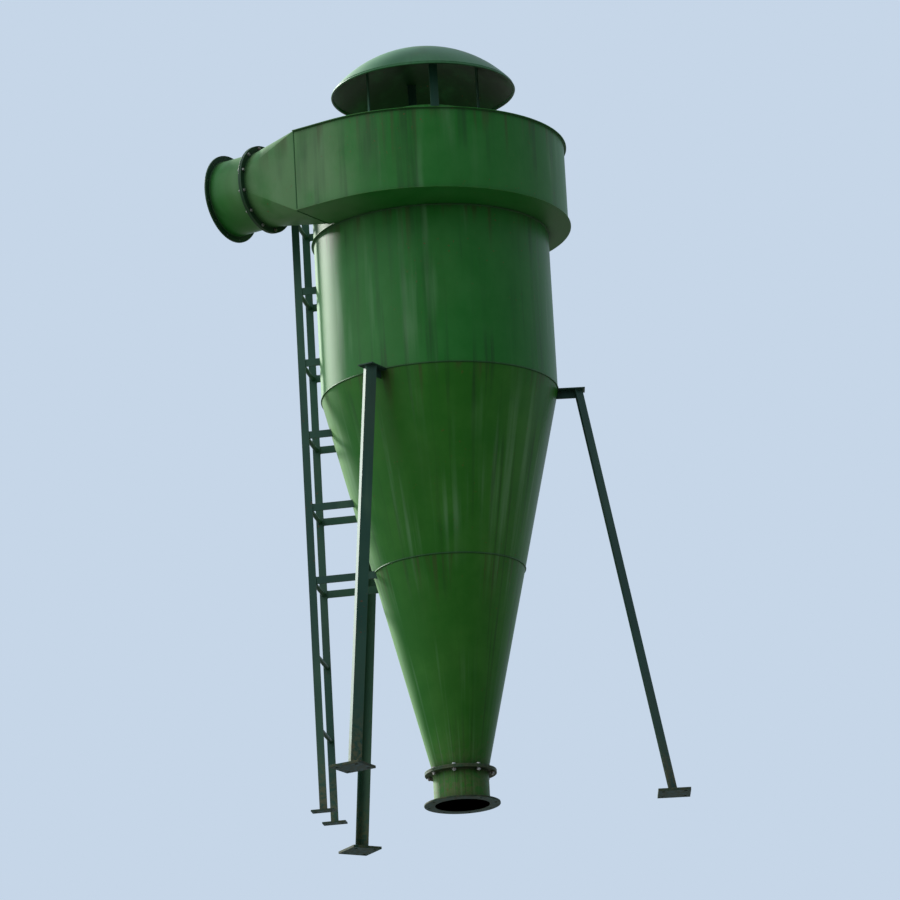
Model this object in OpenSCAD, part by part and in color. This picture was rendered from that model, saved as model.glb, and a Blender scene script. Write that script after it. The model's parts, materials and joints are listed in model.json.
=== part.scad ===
// Cyclone separator of welded sheet steel on three angle-iron legs.
// The origin is on the axis at floor level. Air enters along +X on the -Y side.

/* [Sheet and plate] */
// Thickness of the rolled body sheet
sheet = 3; // [2:0.5:5]
// Thickness of the scroll's flat floor and roof
plate_t = 4; // [3:0.5:8]
// Thickness of every round flange
flange_t = 8; // [5:1:14]
// Gap at curved seats, closed by the weld
seat_gap = 0.3; // [0.1:0.1:0.5]

/* [Body] */
// Outside diameter of the barrel
body_d = 1100; // [1000:10:1200]
// Height of the barrel between the cone and the scroll
barrel_h = 760; // [600:10:1000]
// Height of the upper cone section
cone_upper_h = 850; // [600:10:1000]
// Height of the lower cone section
cone_lower_h = 942; // [700:2:1200]

/* [Dust outlet] */
// Bore of the dust outlet
dust_bore_d = 250; // [200:10:300]
// Length of the pipe under the cone
discharge_l = 134; // [80:2:300]
// Width of the base flange from its bore to its rim
base_rim = 50; // [40:1:70]
// Distance from the base flange's rim to its bolt circle
base_edge = 20; // [15:1:22]
// Number of bolt holes in the base flange
base_holes = 8; // [4:1:12]
// Diameter of those bolt holes
base_hole_d = 12; // [8:1:14]
// Width of the two joint flanges from their bore to their rim
joint_rim = 40; // [34:1:60]
// Distance from their rim to their bolt circle
joint_edge = 18; // [14:1:20]
// Number of bolt holes in each joint flange
joint_holes = 8; // [4:1:12]
// Diameter of those bolt holes
joint_hole_d = 11; // [8:1:13]

/* [Scroll] */
// Overall height of the scroll, floor and roof plates included
scroll_h = 390; // [360:10:460]
// Outside width of the inlet box, and so the throw of the scroll
inlet_w = 250; // [200:5:300]
// Angle over which the scroll narrows to the barrel
scroll_sweep = 205; // [160:5:250]
// How far the floor and roof plates stand out past the wall
scroll_lip = 12; // [5:1:14]
// Length of the straight inlet box
inlet_box_l = 200; // [200:10:300]

/* [Inlet] */
// Outside diameter of the round inlet
duct_d = 355; // [300:5:400]
// Length of the transition from rectangle to circle
transition_l = 250; // [200:5:400]
// Length of the round collar between its two flanges
collar_l = 185; // [100:5:250]
// Width of the inlet flanges past the collar
inlet_rim = 30; // [24:1:40]
// Distance from their rim to their bolt circle
inlet_edge = 14; // [10:1:16]
// Number of bolt holes in each inlet flange
inlet_holes = 12; // [6:1:16]
// Diameter of those bolt holes
inlet_hole_d = 10; // [6:1:12]

/* [Clean air outlet] */
// Outside diameter of the outlet pipe
outlet_d = 520; // [440:10:600]
// Depth of the outlet pipe below the scroll floor
outlet_dip_l = 270; // [100:10:400]
// Height of the outlet pipe above the scroll roof
neck_h = 200; // [120:5:300]
// Width of the ring round the neck
neck_rim = 50; // [30:1:80]

/* [Rain cap] */
// Diameter of the cap at its rim
cap_d = 860; // [760:10:1000]
// Rise of the domed cap above its rim
cap_rise = 195; // [140:5:260]
// Depth of the turned-down edge
cap_skirt = 15; // [8:1:30]
// Open height between the outlet pipe and the cap's edge
cap_gap = 140; // [80:5:200]
// Width of a cap strut
strut_w = 40; // [25:1:60]
// Thickness of a cap strut
strut_t = 5; // [3:1:8]
// Length of a strut that lies against the outlet pipe
strut_lap = 100; // [50:5:110]

/* [Legs] */
// Direction of the first leg
leg_turn = 34; // [20:1:40]
// Distance from the barrel to a leg's outer corner at its top
leg_stand = 115; // [100:1:160]
// How much further out the same corner is at the floor
leg_spread = 320; // [200:5:420]
// Width of the leg's angle iron
leg_w = 50; // [40:1:70]
// Thickness of the leg's angle iron
leg_t = 5; // [4:0.5:8]
// Width of a bracket's top plate
bracket_w = 76; // [72:2:110]
// Thickness of a bracket's top plate
bracket_t = 6; // [4:1:12]
// How far the top plate stands out past the leg
bracket_over = 10; // [5:1:40]
// Thickness of a bracket's web
web_t = 6; // [4:1:10]
// Depth of the web under the top plate
web_d = 36; // [24:2:80]
// Width of a foot plate
foot_w = 150; // [140:2:200]
// Thickness of a foot plate
foot_t = 12; // [8:1:20]
// Diameter of a foot plate's bolt circle
foot_pcd = 144; // [130:2:150]
// Diameter of a foot plate's bolt holes
foot_hole_d = 16; // [10:1:18]

/* [Ladder] */
// Direction of the ladder
ladder_turn = 204; // [196:1:208]
// Distance from the barrel to the middle of the rails
ladder_stand = 70; // [60:1:120]
// Distance between the middles of the rails
ladder_w = 260; // [220:5:300]
// Height of the rails' upper ends
ladder_h = 3050; // [2950:10:3200]
// Width of a rail, in and out from the body
rail_w = 35; // [25:1:50]
// Thickness of a rail
rail_t = 8; // [6:1:14]
// Height of the lowest rung
first_rung_h = 390; // [250:5:400]
// Distance from rung to rung
rung_pitch = 350; // [300:5:370]
// Number of rungs
rung_count = 8; // [7:1:8]
// Diameter of a rung
rung_d = 20; // [16:1:28]
// Number of the lowest rung that has wall arms, counted from 0
arm_first = 2; // [1:1:3]
// Depth of a wall arm
arm_w = 35; // [20:1:50]
// Thickness of a wall arm
arm_t = 6; // [4:1:8]
// Length of a ladder foot
pad_l = 110; // [90:2:160]
// Width of a ladder foot
pad_w = 50; // [40:1:60]
// Thickness of a ladder foot
pad_t = 8; // [6:1:12]
// Diameter of a ladder foot's two bolt holes
pad_hole_d = 12; // [8:1:14]

/* [Hidden] */
$fn = 96;

// Paint colours
body_green = "#6aa77f";
cone_green = "#5d9469";
frame_green = "#3f7160";
flange_green = "#2f5a48";

// How far a cutting shape reaches past what it cuts
past = 1;
// Thickness of the end slices between which the transition is stretched
slice = 0.1;
// Angles at which the scroll starts, and at which its wall is back at the inlet
scroll_start = -90;
scroll_end = 270;
// Angle between two points of the scroll's outline
scroll_step = 3;
// Angle over which a weld fills the scroll's tongue
tongue_weld = 6;
// Sides of the circle at the end of the transition
transition_sides = 64;
leg_count = 3;
strut_count = 4;

// Radii
body_r = body_d / 2;
dust_r = dust_bore_d / 2;
duct_r = duct_d / 2;
outlet_r = outlet_d / 2;
cap_r = cap_d / 2;
neck_hole_r = outlet_r + seat_gap;
// Radius at which the scroll starts, and so its outer wall at the inlet
throw_r = body_r + inlet_w;
// Middle of the inlet passage, across the flow
inlet_y = -(throw_r + body_r) / 2;

// Levels above the floor
pipe_z = flange_t;
discharge_flange_z = pipe_z + discharge_l;
cone_flange_z = discharge_flange_z + flange_t;
cone_z = cone_flange_z + flange_t;
seam_z = cone_z + cone_lower_h;
junction_z = seam_z + cone_upper_h;
scroll_z = junction_z + barrel_h;
roof_z = scroll_z + scroll_h - plate_t;
top_z = roof_z + plate_t;
inlet_z = scroll_z + scroll_h / 2;
pipe_top_z = top_z + neck_h;
rim_z = pipe_top_z + cap_gap + cap_skirt;

// Stations along the inlet, from the scroll outwards
transition_x = -inlet_box_l;
round_x = transition_x - transition_l;
collar_flange_x = round_x - 2 * flange_t;
inlet_flange_x = collar_flange_x - collar_l - flange_t;

// The cap is part of a ball
cap_ball_r = (cap_r * cap_r + cap_rise * cap_rise) / (2 * cap_rise);
cap_ball_z = rim_z + cap_rise - cap_ball_r;

// Legs lean in from the floor to the underside of the brackets
leg_top_z = junction_z - bracket_t;
leg_top_r = body_r + leg_stand;
leg_foot_r = leg_top_r + leg_spread;
leg_lean = atan(leg_spread / (leg_top_z - foot_t));
// Distance from the leg's outer corner to the edge of a web inside it
web_set = (sqrt(2) * (leg_t + seat_gap) + web_t / 2) / cos(leg_lean);
// Distance from the leg's outer corner to the middle of its foot plate
foot_set = leg_w * cos(45) / 2;

ladder_r = body_r + ladder_stand;

// Outside radius of the cone at a level
function cone_r(z) = dust_r + sheet + (z - cone_z) * (body_r - dust_r - sheet) / (junction_z - cone_z);
// Distance of a leg's outer corner from the axis at a level
function leg_r(z) = leg_foot_r - (z - foot_t) * tan(leg_lean);
// Outside radius of the scroll at an angle
function scroll_r(a) = a - scroll_start < scroll_sweep
    ? body_r + inlet_w * (1 + cos(180 * (a - scroll_start) / scroll_sweep)) / 2
    : body_r;
// Points of the scroll's round part, grown outwards, from one angle to another
function scroll_arc(grow, from, to) = [
    for (k = [0 : ceil((to - from) / scroll_step)])
        let (a = min(from + k * scroll_step, to))
        (scroll_r(a) + grow) * [cos(a), sin(a)]
];
function backwards(list) = [for (k = [len(list) - 1 : -1 : 0]) list[k]];

// Closed outline of the scroll and inlet box, grown outwards by the lip
module scroll_plate_outline() {
    meet = 180 + asin((body_r - scroll_lip) / (body_r + scroll_lip));
    polygon(concat(
        [[transition_x, -throw_r - scroll_lip]],
        scroll_arc(scroll_lip, scroll_start, meet),
        [[transition_x, -body_r + scroll_lip]]
    ));
}

// Section of the scroll's wall. A weld fills the tongue, where the wall closes on the inlet box.
module scroll_wall_section() {
    weld_end = scroll_end - tongue_weld;
    polygon(concat(
        [[transition_x, -throw_r]],
        scroll_arc(0, scroll_start, weld_end),
        [[body_r * cos(weld_end), -body_r], [transition_x, -body_r]],
        [[transition_x, -body_r - sheet], [0, -body_r - sheet]],
        backwards(scroll_arc(-sheet, scroll_start, scroll_end)),
        [[transition_x, -throw_r + sheet]]
    ));
}

// Ring of round holes through a plate that lies on the XY plane
module bolt_holes(count, circle_r, hole_d, depth, turn = 0) {
    for (k = [0 : count - 1])
        rotate([0, 0, turn + k * 360 / count])
            translate([circle_r, 0, -past])
                cylinder(d = hole_d, h = depth + 2 * past);
}

// Flat ring with bolt holes, lying on the XY plane
module bolted_ring(outer_r, bore_r, edge, count, hole_d) {
    difference() {
        cylinder(r = outer_r, h = flange_t);
        translate([0, 0, -past])
            cylinder(r = bore_r, h = flange_t + 2 * past);
        bolt_holes(count, outer_r - edge, hole_d, flange_t, 180 / count);
    }
}

// Straight tube standing on the XY plane
module tube(outer_r, length) {
    difference() {
        cylinder(r = outer_r, h = length);
        translate([0, 0, -past])
            cylinder(r = outer_r - sheet, h = length + 2 * past);
    }
}

// Conical shell between two levels of the cone
module cone_shell(z_low, z_high) {
    rotate_extrude()
        polygon([
            [cone_r(z_low) - sheet, z_low],
            [cone_r(z_low), z_low],
            [cone_r(z_high), z_high],
            [cone_r(z_high) - sheet, z_high]
        ]);
}

// Solid that fills the body, cut from whatever seats on it
module body_envelope() {
    rotate_extrude()
        polygon([
            [0, cone_z],
            [cone_r(cone_z) + seat_gap, cone_z],
            [body_r + seat_gap, junction_z],
            [body_r + seat_gap, top_z],
            [0, top_z]
        ]);
}

// Turns a shape drawn upwards so that it lies along -X, on the inlet's middle line
module on_inlet(x) {
    translate([x, inlet_y, inlet_z])
        rotate([0, 90, 0])
            children();
}

module on_leg(k) {
    rotate([0, 0, leg_turn + k * 360 / leg_count])
        children();
}

module on_ladder() {
    rotate([0, 0, ladder_turn])
        children();
}

module base_flange() {
    color(flange_green)
        bolted_ring(dust_r + base_rim, dust_r, base_edge, base_holes, base_hole_d);
}

module discharge_pipe() {
    color(cone_green)
        translate([0, 0, pipe_z])
            tube(dust_r + sheet, discharge_l);
}

module joint_flange(z) {
    color(flange_green)
        translate([0, 0, z])
            bolted_ring(dust_r + joint_rim, dust_r, joint_edge, joint_holes, joint_hole_d);
}

module cone_lower() {
    color(cone_green)
        cone_shell(cone_z, seam_z);
}

module cone_upper() {
    color(cone_green)
        cone_shell(seam_z, junction_z);
}

module barrel() {
    color(body_green)
        translate([0, 0, junction_z])
            tube(body_r, barrel_h);
}

module scroll_floor() {
    color(body_green)
        translate([0, 0, scroll_z])
            difference() {
                linear_extrude(plate_t)
                    scroll_plate_outline();
                translate([0, 0, -past])
                    cylinder(r = body_r - sheet, h = plate_t + 2 * past);
            }
}

module scroll_wall() {
    color(body_green)
        translate([0, 0, scroll_z + plate_t])
            linear_extrude(scroll_h - 2 * plate_t)
                scroll_wall_section();
}

module scroll_roof() {
    color(body_green)
        translate([0, 0, roof_z])
            difference() {
                linear_extrude(plate_t)
                    scroll_plate_outline();
                translate([0, 0, -past])
                    cylinder(r = neck_hole_r, h = plate_t + 2 * past);
            }
}

// Solid from the rectangular inlet box to the round collar, drawn in by the wall
module transition_solid(side, flat, reach) {
    hull() {
        translate([transition_x - slice, inlet_y - inlet_w / 2 + side, inlet_z - scroll_h / 2 + flat])
            cube([slice + reach, inlet_w - 2 * side, scroll_h - 2 * flat]);
        on_inlet(round_x - reach)
            cylinder(r = duct_r - side, h = slice + reach, $fn = transition_sides);
    }
}

module inlet_transition() {
    color(body_green)
        difference() {
            transition_solid(0, 0, 0);
            transition_solid(sheet, plate_t, past);
        }
}

module inlet_ring(x) {
    color(flange_green)
        on_inlet(x)
            bolted_ring(duct_r + inlet_rim, duct_r - sheet, inlet_edge, inlet_holes, inlet_hole_d);
}

module inlet_collar() {
    color(body_green)
        on_inlet(collar_flange_x - collar_l)
            tube(duct_r, collar_l);
}

module outlet_pipe() {
    color(body_green)
        translate([0, 0, scroll_z - outlet_dip_l])
            tube(outlet_r, pipe_top_z - scroll_z + outlet_dip_l);
}

module neck_flange() {
    color(flange_green)
        translate([0, 0, top_z])
            difference() {
                cylinder(r = outlet_r + neck_rim, h = flange_t);
                translate([0, 0, -past])
                    cylinder(r = neck_hole_r, h = flange_t + 2 * past);
            }
}

module rain_cap() {
    color(body_green) {
        difference() {
            translate([0, 0, cap_ball_z])
                sphere(r = cap_ball_r);
            translate([0, 0, cap_ball_z])
                sphere(r = cap_ball_r - sheet);
            translate([0, 0, rim_z - 2 * cap_ball_r])
                cylinder(r = 2 * cap_ball_r, h = 2 * cap_ball_r);
        }
        translate([0, 0, rim_z - cap_skirt])
            tube(cap_r, cap_skirt);
    }
}

module cap_strut(k) {
    color(frame_green)
        intersection() {
            rotate([0, 0, (k + 0.5) * 360 / strut_count])
                translate([outlet_r + seat_gap, -strut_w / 2, pipe_top_z - strut_lap])
                    cube([strut_t, strut_w, rim_z + cap_rise - pipe_top_z + strut_lap]);
            translate([0, 0, cap_ball_z])
                sphere(r = cap_ball_r - sheet - seat_gap);
        }
}

module leg(k) {
    color(frame_green)
        on_leg(k)
            intersection() {
                translate([leg_foot_r, 0, foot_t])
                    rotate([0, -leg_lean, 0])
                        translate([0, 0, -leg_w])
                            linear_extrude((leg_top_z - foot_t) / cos(leg_lean) + 2 * leg_w)
                                rotate(135)
                                    polygon([
                                        [0, 0], [leg_w, 0], [leg_w, leg_t],
                                        [leg_t, leg_t], [leg_t, leg_w], [0, leg_w]
                                    ]);
                translate([0, -leg_w, foot_t])
                    cube([leg_foot_r + leg_w, 2 * leg_w, leg_top_z - foot_t]);
            }
}

// Top plate and upright web that carry the body on one leg
module leg_bracket(k) {
    color(frame_green)
        on_leg(k)
            difference() {
                union() {
                    translate([0, -bracket_w / 2, leg_top_z])
                        cube([leg_top_r + bracket_over, bracket_w, bracket_t]);
                    translate([0, web_t / 2, 0])
                        rotate([90, 0, 0])
                            linear_extrude(web_t)
                                polygon([
                                    [0, leg_top_z + bracket_t],
                                    [0, leg_top_z - web_d],
                                    [leg_r(leg_top_z - web_d) - web_set, leg_top_z - web_d],
                                    [leg_top_r - web_set, leg_top_z],
                                    [leg_top_r - web_set, leg_top_z + bracket_t]
                                ]);
                }
                body_envelope();
            }
}

module foot_plate(k) {
    color(frame_green)
        on_leg(k)
            translate([leg_foot_r - foot_set, 0, 0])
                difference() {
                    translate([-foot_w / 2, -foot_w / 2, 0])
                        cube([foot_w, foot_w, foot_t]);
                    bolt_holes(4, foot_pcd / 2, foot_hole_d, foot_t, 45);
                }
}

module ladder_rail(side) {
    color(frame_green)
        on_ladder()
            translate([ladder_r - rail_w / 2, side * ladder_w / 2 - rail_t / 2, pad_t])
                cube([rail_w, rail_t, ladder_h - pad_t]);
}

module ladder_rungs() {
    color(frame_green)
        on_ladder()
            for (n = [0 : rung_count - 1])
                translate([ladder_r, (ladder_w - rail_t) / 2, first_rung_h + n * rung_pitch])
                    rotate([90, 0, 0])
                        cylinder(d = rung_d, h = ladder_w - rail_t);
}

// Flat bars that tie one rail to the body, level with the rungs
module ladder_arms(side) {
    color(frame_green)
        difference() {
            on_ladder()
                for (n = [arm_first : rung_count - 1])
                    translate([0, side * ladder_w / 2 - arm_t / 2, first_rung_h + n * rung_pitch - arm_w / 2])
                        cube([ladder_r - rail_w / 2, arm_t, arm_w]);
            body_envelope();
        }
}

module ladder_feet() {
    color(frame_green)
        on_ladder()
            for (side = [-1, 1])
                translate([ladder_r, side * ladder_w / 2, 0])
                    difference() {
                        translate([-pad_l / 2, -pad_w / 2, 0])
                            cube([pad_l, pad_w, pad_t]);
                        bolt_holes(2, (pad_l + rail_w) / 4, pad_hole_d, pad_t);
                    }
}

base_flange();
discharge_pipe();
joint_flange(discharge_flange_z);  // discharge_flange
joint_flange(cone_flange_z);  // cone_outlet_flange
cone_lower();
cone_upper();
barrel();
scroll_floor();
scroll_wall();
scroll_roof();
inlet_transition();
inlet_ring(round_x - flange_t);  // transition_flange
inlet_ring(collar_flange_x);  // collar_flange
inlet_collar();
inlet_ring(inlet_flange_x);  // inlet_flange
outlet_pipe();
neck_flange();
rain_cap();
cap_strut(0);  // cap_strut_1
cap_strut(1);  // cap_strut_2
cap_strut(2);  // cap_strut_3
cap_strut(3);  // cap_strut_4
leg(0);  // leg_1
leg(1);  // leg_2
leg(2);  // leg_3
leg_bracket(0);  // leg_bracket_1
leg_bracket(1);  // leg_bracket_2
leg_bracket(2);  // leg_bracket_3
foot_plate(0);  // foot_plate_1
foot_plate(1);  // foot_plate_2
foot_plate(2);  // foot_plate_3
ladder_rail(-1);  // ladder_left_rail
ladder_rail(1);  // ladder_right_rail
ladder_rungs();
ladder_arms(-1);  // ladder_left_arms
ladder_arms(1);  // ladder_right_arms
ladder_feet();
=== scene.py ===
"""Finish, welds, bolts, light and camera of a sheet-steel dust cyclone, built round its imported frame."""

import json
import math

import bmesh
import bpy
from mathutils import Matrix, Vector


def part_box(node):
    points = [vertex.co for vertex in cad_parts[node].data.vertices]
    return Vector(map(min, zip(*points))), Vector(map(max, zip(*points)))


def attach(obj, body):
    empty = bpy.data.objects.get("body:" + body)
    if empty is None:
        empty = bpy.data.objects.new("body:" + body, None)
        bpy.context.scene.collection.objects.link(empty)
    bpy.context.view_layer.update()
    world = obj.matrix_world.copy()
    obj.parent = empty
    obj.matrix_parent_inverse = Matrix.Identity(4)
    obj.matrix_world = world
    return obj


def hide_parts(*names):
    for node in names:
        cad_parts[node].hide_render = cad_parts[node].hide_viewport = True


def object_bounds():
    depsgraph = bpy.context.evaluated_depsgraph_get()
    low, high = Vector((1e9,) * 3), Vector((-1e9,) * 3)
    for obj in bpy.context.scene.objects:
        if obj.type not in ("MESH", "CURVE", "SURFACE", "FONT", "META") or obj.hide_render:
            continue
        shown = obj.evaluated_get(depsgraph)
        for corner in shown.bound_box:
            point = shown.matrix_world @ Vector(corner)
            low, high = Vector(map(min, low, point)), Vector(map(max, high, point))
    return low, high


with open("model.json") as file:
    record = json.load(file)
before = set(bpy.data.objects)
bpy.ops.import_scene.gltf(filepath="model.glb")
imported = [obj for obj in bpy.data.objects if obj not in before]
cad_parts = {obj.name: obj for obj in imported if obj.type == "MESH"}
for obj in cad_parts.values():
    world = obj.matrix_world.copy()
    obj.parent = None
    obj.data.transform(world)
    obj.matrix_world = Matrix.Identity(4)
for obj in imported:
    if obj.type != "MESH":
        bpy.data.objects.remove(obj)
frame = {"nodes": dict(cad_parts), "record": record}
nodes = frame["nodes"]
slots = {entry["node"]: entry["material_slot"] for entry in frame["record"]["subparts"]}
cad_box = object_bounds()

# Sizes read from the frame, in metres
BODY_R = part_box("barrel")[1].x
JUNCTION_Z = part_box("barrel")[0].z
SCROLL_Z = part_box("barrel")[1].z
SEAM_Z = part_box("cone_upper")[0].z
CONE_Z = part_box("cone_lower")[0].z
CONE_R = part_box("discharge_pipe")[1].x
THROW_R = -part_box("scroll_wall")[0].y
WALL_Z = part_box("scroll_wall")[0].z
ROOF_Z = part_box("scroll_roof")[0].z
TOP_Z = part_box("scroll_roof")[1].z
NECK_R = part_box("outlet_pipe")[1].x
NECK_TOP_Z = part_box("outlet_pipe")[1].z
CAP_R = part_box("rain_cap")[1].x
CAP_LOW_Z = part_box("rain_cap")[0].z
CAP_TOP_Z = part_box("rain_cap")[1].z
BOX_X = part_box("inlet_transition")[1].x
ROUND_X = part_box("inlet_transition")[0].x
INLET_Y = (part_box("inlet_collar")[0].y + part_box("inlet_collar")[1].y) / 2
INLET_Z = (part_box("inlet_collar")[0].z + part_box("inlet_collar")[1].z) / 2
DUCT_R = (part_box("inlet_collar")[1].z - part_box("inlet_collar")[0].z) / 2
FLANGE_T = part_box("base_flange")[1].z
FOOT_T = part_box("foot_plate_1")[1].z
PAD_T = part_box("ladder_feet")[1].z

# Sizes that the frame doesn't give, as the part's source states them
SHEET = 0.003
SCROLL_SWEEP = math.radians(205)
SCROLL_START = math.radians(-90)
CAP_SKIRT = 0.015
STRUT_W = 0.040
STRUT_T = 0.005
STRUT_COUNT = 4
LEG_TURN = math.radians(34)
LEG_COUNT = 3
LEG_W = 0.050
LEG_T = 0.005
LEG_TOP_R = BODY_R + 0.115
LEG_FOOT_R = LEG_TOP_R + 0.320
BRACKET_W = 0.076
BRACKET_T = 0.006
WEB_T = 0.006
WEB_D = 0.036
LADDER_TURN = math.radians(204)
LADDER_R = BODY_R + 0.070
LADDER_W = 0.260
RAIL_W = 0.035
RAIL_T = 0.008
RUNG_R = 0.010
RUNG_FIRST_Z = 0.390
RUNG_PITCH = 0.350
RUNG_COUNT = 8
ARM_FIRST = 2
ARM_W = 0.035
ARM_T = 0.006
DUST_BOLT_COUNT = 8
DUST_BOLT_INSET = 0.018
INLET_BOLT_COUNT = 12
INLET_BOLT_INSET = 0.014
# Curved seats are drawn this far apart
SEAT_GAP = 0.0003

# Sizes of the pieces that are made here
BIG_THREAD = 0.010
SMALL_THREAD = 0.008
# The bolts of each cap strut stand this far below the outlet pipe's end
STRUT_BOLT_DEPTHS = (0.025, 0.072)
CAP_WIRE_R = 0.005
CAP_WIRE_LIFT = 0.004
SCROLL_STEPS = 240
# Weld beads, by radius: round the body, on upright seams and the frame, and on the ladder
WELD_R = 0.004
THIN_WELD_R = 0.003
SMALL_WELD_R = 0.0025
# A bead's middle stands this far off the faces that it joins
WELD_LIFT = 0.001
# Beads on a leg bracket stop short of the web's lower corner, the body and the leg
WEB_CORNER_GAP = 0.006
BODY_BEAD_GAP = 0.004
LEG_BEAD_GAP = 0.014
# Where each sheet's upright seam stands round the axis
BARREL_SEAM = math.radians(128)
UPPER_CONE_SEAM = math.radians(72)
LOWER_CONE_SEAM = math.radians(165)

# Plates and flanges are eased by a millimetre, thin flat bar by less
PLATE_EASE = 0.0010
BAR_EASE = 0.0007
EASE_STEPS = 2
# The rolled root inside an angle iron
ROOT_R = 0.0050
ROOT_STEPS = 4
# Points nearer than this are one, and faces that turn less than this are flat
MERGE_GAP = 0.00001
FLAT_TURN = math.radians(0.4)
# Edges that turn more than this are eased, or are left sharp in the shading
CORNER_TURN = math.radians(40)
SHARP_TURN = math.radians(19)

# The photograph's view: from the front and below, with a long lens
VIEW_AZIMUTH = math.radians(33.4)
VIEW_ELEVATION = math.radians(-16.5)
VIEW_DISTANCE = 28.0
VIEW_LEAN = math.radians(3.2)
VIEW_HEIGHT = 4.15
# The frame's middle lies this far to the right of the box's middle, and below it
VIEW_ASIDE = 0.17
VIEW_BELOW = 0.18
# The sun stands behind the part on the left, turned from the viewer's side by this much
SUN_TURN = math.radians(-140)
SUN_RISE = math.radians(29)
SUN_SPREAD = math.radians(8)
SUN_STRENGTH = 5.8
# The glow of the open sky stands nearer to the viewer
GLOW_TURN = math.radians(-60)
GLOW_RISE = math.radians(23)
GLOW_SPREAD = math.radians(80)
GLOW_STRENGTH = 1.75
# Even light from all round
SKY_STRENGTH = 0.29

# The floor lies this far under the feet, and the feet see through what is nearer than a touch
FLOOR_DROP = 0.0005
FLOOR_TOUCH = 0.003
FLOOR_REACH = 30.0


def sight(azimuth, elevation):
    """The direction from the object to a viewer or a lamp."""
    level = math.cos(elevation)
    return Vector((math.sin(azimuth) * level, -math.cos(azimuth) * level, math.sin(elevation)))


# The sun's side also decides which side of the paint is painted paler, as painted sunlight
SUN_SIDE = sight(VIEW_AZIMUTH + SUN_TURN, SUN_RISE)


def rgb(red, green, blue):
    """An sRGB colour from 0 to 255, as the linear colour that a shader takes."""
    linear = []
    for channel in (red, green, blue):
        value = channel / 255
        linear.append(value / 12.92 if value <= 0.04045 else ((value + 0.055) / 1.055) ** 2.4)
    return (*linear, 1.0)


def put(tree, kind, values=None, **settings):
    """Adds a node with its settings. Each value goes into an input, as a number or as a link."""
    node = tree.nodes.new(kind)
    for name, value in settings.items():
        setattr(node, name, value)
    for key, value in (values or {}).items():
        if isinstance(value, bpy.types.NodeSocket):
            tree.links.new(value, node.inputs[key])
        else:
            node.inputs[key].default_value = value
    return node


def maths(tree, operation, first, second=0.0, third=0.0):
    """One Math node, and its result."""
    values = {0: first, 1: second, 2: third}
    return put(tree, "ShaderNodeMath", values, operation=operation).outputs[0]


def times(tree, first, second):
    """The product of two values."""
    return maths(tree, "MULTIPLY", first, second)


def mixed(tree, amount, first, second):
    """One colour Mix node, and its result."""
    return put(tree, "ShaderNodeMix", {0: amount, 6: first, 7: second}, data_type="RGBA").outputs[2]


def ramp(tree, value, low, high):
    """A smooth step from 0 at low to 1 at high."""
    values = {0: value, 1: low, 2: high, 3: 0.0, 4: 1.0}
    return put(tree, "ShaderNodeMapRange", values, interpolation_type="SMOOTHSTEP").outputs[0]


def vector_maths(tree, operation, first, second=(0, 0, 0), third=(0, 0, 0)):
    """One Vector Math node, and its result, a number for a dot product or a distance."""
    values = {0: first, 1: second, 2: third}
    results = put(tree, "ShaderNodeVectorMath", values, operation=operation).outputs
    return results["Value"] if operation in ("DOT_PRODUCT", "DISTANCE") else results["Vector"]


def stretched_noise(tree, coordinates, stretch, per_metre, detail=4.0, roughness=0.55):
    """Noise with so many spots to the metre, on coordinates that are first scaled along each axis."""
    place = put(tree, "ShaderNodeMapping", {0: coordinates, 3: stretch}).outputs[0]
    values = {"Vector": place, "Scale": per_metre, "Detail": detail, "Roughness": roughness}
    return put(tree, "ShaderNodeTexNoise", values).outputs[0]


# Noise that isn't stretched
EVEN = (1.0, 1.0, 1.0)


def round_the_axis(tree, coordinates):
    """Coordinates at the body's own distance from the upright axis, so that a line runs down its side."""
    level = vector_maths(tree, "MULTIPLY", coordinates, (1, 1, 0))
    side = vector_maths(tree, "NORMALIZE", level)
    height = vector_maths(tree, "MULTIPLY", coordinates, (0, 0, 1))
    return vector_maths(tree, "MULTIPLY_ADD", side, (BODY_R, BODY_R, 0), height)


def upward(tree, vector):
    """The upward part of a vector."""
    return put(tree, "ShaderNodeSeparateXYZ", {0: vector}).outputs[2]


def facing_up(tree):
    """The upward part of the surface's direction, from -1 to 1."""
    return upward(tree, put(tree, "ShaderNodeNewGeometry").outputs["Normal"])


def steepness(tree):
    """1 on upright surfaces, down to 0 on level ones."""
    level = ramp(tree, maths(tree, "ABSOLUTE", facing_up(tree)), 0.5, 0.9)
    return maths(tree, "SUBTRACT", 1.0, level)


def shader_group(name, inputs, outputs):
    """An empty shader group with named sockets, and its input and output nodes."""
    tree = bpy.data.node_groups.new(name, "ShaderNodeTree")
    for label, kind, default in inputs:
        socket = tree.interface.new_socket(label, in_out="INPUT", socket_type=kind)
        if default is not None:
            socket.default_value = default
    for label, kind in outputs:
        tree.interface.new_socket(label, in_out="OUTPUT", socket_type=kind)
    return tree, put(tree, "NodeGroupInput").outputs, put(tree, "NodeGroupOutput").inputs


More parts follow.
